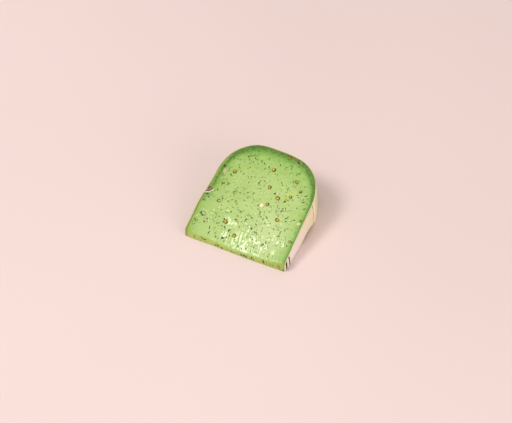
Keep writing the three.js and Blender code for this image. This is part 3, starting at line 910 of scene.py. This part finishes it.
# Each flake: across and radius, length, width, turn from across, shape, and tone, which runs
# from 0 for black through green and brown to 1 for yellow.
FLAKES = [
    (-5.3, 91.2, 3.2, 1, 82, 2, 0.05), (-5, 93.6, 1.4, 0.6, 70, 1, 0.35),
    (-28, 98.8, 1.8, 1.2, 120, 3, 0.3), (-14, 94, 1.3, 0.9, 20, 0, 0.25),
    (-40.6, 95, 2.4, 1.7, 90, 3, 0.12), (-2, 86.6, 1.6, 1, 10, 0, 0.3),
    (11.6, 87, 2, 1.4, 60, 3, 0.28), (22.7, 83, 2.1, 1.8, 0, 0, 0.16),
    (-29, 67, 2.6, 1.2, 100, 3, 0.18), (-5.6, 80.5, 2, 1, 75, 1, 0.4),
    (-19.6, 49.8, 1.9, 1.2, 150, 3, 0.1), (-18.8, 47.2, 1.8, 1, 60, 1, 0.2),
    (-9.8, 52.7, 1.9, 1.4, 20, 0, 0), (-1.3, 56.6, 2, 1.4, 30, 3, 0),
    (-1.7, 54.6, 2, 0.7, 80, 2, 0.18), (2.2, 59.4, 2.2, 1.4, 160, 3, 0.2),
    (0.4, 60.6, 1.4, 0.8, 70, 1, 0.3), (-13.7, 34.4, 2.9, 1.8, 30, 3, 0.02),
    (-11, 35.6, 1.4, 1, 0, 0, 0.1), (-20, 33.2, 1.6, 1.2, 120, 0, 0.22),
    (-28.2, 38.4, 1.7, 0.9, 100, 1, 0.3), (21.3, 40.3, 1.9, 1.3, 10, 0, 0),
    (22.6, 43, 2.8, 1.1, 110, 3, 0.28), (23.6, 41.4, 1.2, 0.7, 40, 1, 0.25),
    (6.7, 50, 1.7, 1.4, 40, 0, 0.06), (10.8, 46.8, 1.4, 0.9, 0, 0, 0.2),
    (14.8, 63.7, 1.9, 1.3, 50, 3, 0.28), (14.4, 69.6, 1.4, 1, 0, 0, 0.4),
    (37.5, 69.8, 2, 1.2, 15, 0, 0), (-40.4, 47.8, 2.3, 1.3, 130, 3, 0.06),
    (-38.6, 45.4, 1.4, 0.9, 70, 1, 0.24), (-33.2, 44, 2, 1.3, 80, 3, 0.26),
    (-34.2, 41, 2.2, 1, 40, 1, 0.3), (24, 76.4, 2, 1.2, 30, 3, 0.2),
    (25.8, 77.4, 1.8, 0.8, 140, 1, 0.3), (27, 75.6, 1.5, 1, 60, 0, 0.34),
    (23.6, 73.6, 1.8, 1.2, 100, 3, 0.16), (25.4, 74.4, 1.4, 0.9, 20, 0, 0.26),
    (20.8, 75.2, 1.8, 0.7, 95, 2, 0.22), (20.9, 73, 1.2, 0.9, 0, 0, 0.28),
    (30, 69, 2.6, 1, 50, 2, 0.28), (31.2, 70.6, 1.6, 0.8, 95, 1, 0.3),
    (-37.2, 73, 2, 1.3, 120, 3, 0.34), (-36.2, 72.2, 1.2, 0.8, 20, 0, 0.38),
    (-36.8, 105.4, 1.5, 0.9, 130, 1, 0.2), (-35.4, 104, 1.3, 0.9, 30, 0, 0.24),
    (-22.8, 111.4, 2, 0.9, 40, 2, 0.36), (-23.6, 109.6, 1.8, 0.9, 100, 1, 0.4),
    (-18.2, 111.4, 2.2, 1.1, 95, 3, 0.3), (-16.2, 110.2, 1.9, 0.7, 10, 2, 0.34),
    (-11.2, 110, 1.9, 0.9, 110, 1, 0.28), (-8.2, 109.2, 2.7, 0.8, 150, 2, 0.26),
    (-3.4, 108.2, 1.8, 1.2, 80, 3, 0.26), (13.2, 98, 2.4, 0.7, 130, 2, 0.36),
    (14.8, 96.2, 1.6, 0.6, 120, 1, 0.34), (20.4, 94.6, 2.6, 0.9, 80, 2, 0.34),
    (20.8, 91.6, 1.4, 0.8, 60, 0, 0.28), (37.9, 87.4, 2.2, 1.6, 0, 3, 0.42),
    (41.6, 81.6, 1.8, 1.1, 30, 1, 0.22), (35, 80.8, 1.6, 0.8, 120, 1, 0.42),
    (32.2, 90.4, 1.6, 1.1, 40, 0, 0.34), (19.2, 119.4, 2.6, 1.6, 170, 3, 0.04),
    (18, 121.2, 2.2, 1.4, 20, 1, 0.8), (15.8, 112.6, 2, 0.9, 70, 2, 0.34),
    (24, 110.4, 1.8, 1, 10, 1, 0.34), (4.4, 68.6, 2.6, 0.7, 165, 2, 0.28),
    (6.6, 67.2, 2.2, 0.7, 125, 2, 0.22), (7.2, 64.8, 2, 0.8, 75, 1, 0.24),
    (-31, 80.2, 1.5, 1, 40, 0, 0.38), (-16.4, 57.8, 2.6, 0.9, 85, 2, 0.32),
    (-22.2, 76.4, 2.6, 0.8, 60, 2, 0.4), (-21, 74, 1.8, 0.8, 100, 1, 0.4),
    (-17, 77, 1.7, 0.9, 10, 0, 0.38), (-17.2, 68.4, 2.3, 1, 60, 3, 0.4),
    (-15, 66.6, 1.6, 0.8, 120, 1, 0.36), (-27, 34, 3, 0.9, 70, 2, 0.24),
    (-11.4, 41.2, 2.8, 1.2, 75, 2, 0.22), (-15.8, 42.8, 2.2, 1, 115, 1, 0.28),
    (-24.4, 50.2, 1.8, 1, 30, 0, 0.3), (-28, 51.4, 2.4, 0.7, 150, 2, 0.34),
    (-9.2, 61.6, 2.4, 1.2, 60, 3, 0.38), (1.6, 33, 1.8, 1.2, 0, 0, 0.34),
    (15, 35.6, 1.5, 0.9, 60, 0, 0.24), (28.2, 57, 2.8, 0.7, 160, 2, 0.38),
    (-42.2, 59, 1.5, 1, 90, 0, 0.3), (-40.6, 63.6, 1.8, 1.3, 60, 3, 0.14),
    (-43, 65.2, 2.6, 1.2, 25, 1, 0.14), (24.6, 92, 2.8, 2.4, 40, 0, 0.98),
    (21.6, 87.6, 3.8, 3.2, 0, 3, 0.91), (38.4, 93.8, 1.6, 0.9, 70, 1, 0.4),
    (33.6, 101.4, 1.8, 1, 30, 3, 0.42), (41.2, 45.4, 1.6, 0.8, 60, 1, 0.34),
    (22.4, 51.4, 1.8, 0.8, 140, 1, 0.34), (7.6, 122.4, 1.8, 0.9, 10, 1, 0.78),
    (11.4, 121.8, 2.2, 1, 160, 3, 0.16), (14.2, 122.2, 1.6, 0.9, 30, 0, 0.8),
    (24.4, 119.6, 1.7, 0.9, 140, 1, 0.3), (28, 117.4, 1.5, 0.8, 150, 0, 0.34),
    (-20.4, 121.6, 1.2, 0.7, 30, 0, 0.36), (-13, 122.4, 1.5, 0.8, 15, 1, 0.84),
    (-10.2, 121.2, 1.6, 0.9, 165, 3, 0.6), (-7.6, 122.2, 1.4, 0.8, 20, 0, 0.34),
    (-5.4, 120.8, 1.3, 0.8, 140, 1, 0.82), (-3.2, 122.3, 1.5, 0.8, 5, 3, 0.4),
    (-0.8, 121.2, 1.4, 0.9, 30, 0, 0.8), (1.6, 122.5, 1.3, 0.7, 170, 1, 0.34),
    (3.9, 121.4, 1.6, 0.9, 20, 3, 0.56), (5.8, 122.6, 1.2, 0.7, 160, 0, 0.84)]
NOSE_FLAKES = [
    (-12, 1.3, 2.2, 1.6, 20, 3, 0), (-18.4, 1.8, 1.8, 1, 40, 0, 0.74),
    (-30.4, 4.6, 3.2, 0.8, 140, 2, 0.3), (-28, 4.2, 2, 0.8, 60, 1, 0.34),
    (9.6, 2.6, 2.8, 1.2, 20, 3, 0.22), (11.6, 1.8, 1.8, 0.9, 120, 1, 0.28),
    (16.2, 3.2, 1.8, 0.9, 80, 1, 0.32), (27, 3.6, 3.2, 0.9, 110, 2, 0.2),
    (35.4, 2.8, 1.6, 0.9, 30, 0, 0.3), (45, 1.4, 2, 1.4, 60, 3, 0.16),
    (6.4, 2.4, 2.4, 0.7, 35, 2, 0.24), (-38, 3.4, 1.6, 0.8, 100, 1, 0.34)]
SMALL_FLAKES, SMALL_NOSE_FLAKES = 330, 34
# Where few small flakes show: across, radius and size.
BARE_PATCHES = [
    (0, 81, 6), (-22, 56, 7), (10, 99, 7), (38, 75, 6), (-35, 56, 6), (-10, 101, 5), (33, 83, 5),
    (-25, 90, 5), (12, 104, 6), (-38, 34, 6), (40, 36, 4)]

FLAKE_PULLS = [
    [(lambda p: p.x > 0.5, (0, 0.15, 0)), (lambda p: p.y < -0.5, (0.2, 0.1, 0))],
    [(lambda p: p.x > 0.6, (0.5, 0, 0)), (lambda p: p.x < -0.6, (-0.4, 0.15, 0))],
    [(lambda p: abs(p.x) > 0.6, (0, -0.55, 0)), (lambda p: p.x > 0.8, (0.3, -0.35, 0))],
    [(lambda p: p.x > 0.1 and p.y > 0.4, (-0.3, -0.55, 0)),
     (lambda p: p.x < -0.5 and p.y < 0, (-0.3, -0.4, 0))],
]
flake_models = []
for pulls in FLAKE_PULLS:
    bpy.ops.object.select_all(action="DESELECT")
    bpy.ops.mesh.primitive_uv_sphere_add(segments=8, ring_count=5, radius=1)
    flake_model = bpy.context.object
    for test, move in pulls:
        bpy.ops.object.mode_set(mode="EDIT")
        bpy.ops.mesh.select_mode(type="VERT")
        bpy.ops.mesh.select_all(action="DESELECT")
        bpy.ops.object.mode_set(mode="OBJECT")
        for point in flake_model.data.vertices:
            point.select = bool(test(point.co))
        bpy.ops.object.mode_set(mode="EDIT")
        bpy.ops.transform.translate(value=move)
        bpy.ops.object.mode_set(mode="OBJECT")
    flake_model.data.polygons.foreach_set("use_smooth", [True] * len(flake_model.data.polygons))
    flake_models.append(flake_model)

# Wet chopped leaf: dark and slightly shiny, thin enough that its edges let light through.
herb, shader, places = new_finish("wet_chopped_herb")
tone = add_node(herb, "Attribute", attribute_name="tone", output="Fac")
leaf = add_node(herb, "ValToRGB", {"Fac": tone}, stops=[
    (0.0, "10140A"), (1.0, "C6C832"), (0.2, "26340E"), (0.45, "587628"), (0.62, "76943C"),
    (0.72, "6E5026"), (0.84, "7C6C30"), (0.90, "AEC63C")])
veins = add_node(herb, "TexNoise", {"Vector": places, "Scale": 2.0, "Detail": 2.0})
vein_tone = add_node(herb, "MapRange", {"Value": veins, "From Min": 0.4, "To Max": 0.2})
leaf_tone = mixed(herb, vein_tone, leaf, paint("7C9A48"))
fill_inputs(herb, shader, {
    "Base Color": leaf_tone, "Roughness": 0.45, "IOR": 1.42, "Specular IOR Level": 0.3,
    "Coat Weight": 0.12, "Coat Roughness": 0.2})
for flake_model in flake_models:
    flake_model.data.materials.append(herb)

draw = np.random.RandomState(77)
pockets = [face_place(node) for node in SEEDS + CHIPS]
small_flakes = []
while len(small_flakes) < SMALL_FLAKES:
    across, radius = draw.uniform(-44, 44), draw.uniform(31.5, 122)
    length, width = draw.uniform(0.8, 2.2), draw.uniform(0.5, 0.9)
    turn, shape, tone = draw.uniform(0, 180), draw.randint(0, 4), draw.uniform(0.22, 0.56)
    in_cheese = abs(across) < half_at(radius, 2.2) and radius < crown_at(across, 2.2)
    bare = any(math.hypot(across - x, radius - out) < size for x, out, size in BARE_PATCHES)
    in_pocket = any(math.hypot(across - x, radius - out) < half + 0.9 for x, out, half in pockets)
    if in_cheese and not in_pocket and not (bare and draw.uniform() < 0.8):
        small_flakes.append((across, radius, length, width, turn, shape, tone))
small_nose_flakes = []
while len(small_nose_flakes) < SMALL_NOSE_FLAKES:
    across = draw.uniform(-44, 44)
    height = 0.6 + draw.uniform(0, 1) * (nose_height(across) - NOSE_ROUNDING - 1.2)
    small_nose_flakes.append((across, height, draw.uniform(0.6, 1.6), draw.uniform(0.4, 0.7),
                              draw.uniform(0, 180), draw.randint(0, 4), draw.uniform(0.2, 0.5)))

FLAKE_PROUD, FLAKE_THICKNESS = 0.08, 0.42
SHOWN_LENGTH, SHOWN_WIDTH = 0.68, 0.70
flakes = []
on_surfaces = [(on_cut_face, FLAKES + small_flakes),
               (on_nose_face, NOSE_FLAKES + small_nose_flakes)]
for surface, listed in on_surfaces:
    for across, out, length, width, turn, shape, tone in listed:
        flake = copy_of(flake_models[shape], "herb_flake")
        u, v, w = read_places(flake)
        cos, sin = math.cos(math.radians(turn)), math.sin(math.radians(turn))
        u, v = u * length * SHOWN_LENGTH, v * width * SHOWN_WIDTH
        height = FLAKE_PROUD + (w - 1) * FLAKE_THICKNESS / 2
        write_places(flake, *surface(across + u * cos - v * sin, out + u * sin + v * cos, height))
        add_share(flake, "tone", np.full_like(u, tone))
        flakes.append(flake)
for flake_model in flake_models:
    bpy.data.objects.remove(flake_model)
bpy.ops.object.select_all(action="DESELECT")
for flake in flakes:
    flake.select_set(True)
bpy.context.view_layer.objects.active = flakes[0]
bpy.ops.object.join()
herbs = bpy.context.object
herbs.name = herbs.data.name = "chopped_herbs"
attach(herbs, "root")


# ---- The floor, the light and the camera ------------------------------------------------

bpy.ops.object.select_all(action="DESELECT")
bpy.ops.mesh.primitive_plane_add(size=6)
floor = bpy.context.object
floor.name = "floor"
floor_paint, shader, places = new_finish("matt_pale_pink_floor")
mottle = add_node(floor_paint, "TexNoise", {"Vector": places, "Scale": 1 / 400, "Detail": 1.0})
pink = add_node(floor_paint, "ValToRGB", {"Fac": mottle}, stops=[(0.3, "E8D5D1"), (0.7, "ECD9D5")])
fill_inputs(floor_paint, shader, {
    "Base Color": pink, "Roughness": 0.9})
floor.data.materials.append(floor_paint)


def add_softbox(name, way, distance, size, power, tint):
    """A square soft light that looks at the wedge from a direction."""
    lamp = bpy.data.lights.new(name, "AREA")
    lamp.size = size
    lamp.energy = power
    lamp.color = paint(tint)[:3]
    holder = bpy.data.objects.new(name, lamp)
    holder.location = Vector(way).normalized() * distance
    holder.rotation_euler = Vector(way).to_track_quat("Z", "Y").to_euler()
    bpy.context.collection.objects.link(holder)


add_softbox("window", (-0.409, -0.452, 0.792), 2.6, 0.80, 27.0, "FFFCFA")
add_softbox("overhead", (-0.20, -0.25, 0.95), 3.0, 2.0, 15.0, "FFFFFF")
add_softbox("reflector", (0.86, -0.35, 0.38), 2.4, 1.6, 17.0, "FFF6F0")
room = bpy.data.worlds.new("room")
room.use_nodes = True
room.node_tree.nodes["Background"].inputs["Color"].default_value = paint("FFF6F2")
room.node_tree.nodes["Background"].inputs["Strength"].default_value = 0.55
bpy.context.scene.world = room
bpy.context.scene.view_settings.view_transform = "Standard"

LENS = 70.3
LOOKED_AT = Vector((-4.86 + MIDDLE, 79.08 + AXIS, 0)) * MM
EYE_DISTANCE = 0.8795
camera = bpy.data.cameras.new("camera")
camera.lens = LENS
camera.clip_start = 0.05
eye = bpy.data.objects.new("camera", camera)
look_back = Vector((0.2946, -0.6016, 0.7425)).normalized()
eye.location = LOOKED_AT + look_back * EYE_DISTANCE
eye.rotation_euler = look_back.to_track_quat("Z", "Y").to_euler()
bpy.context.collection.objects.link(eye)
bpy.context.scene.camera = eye
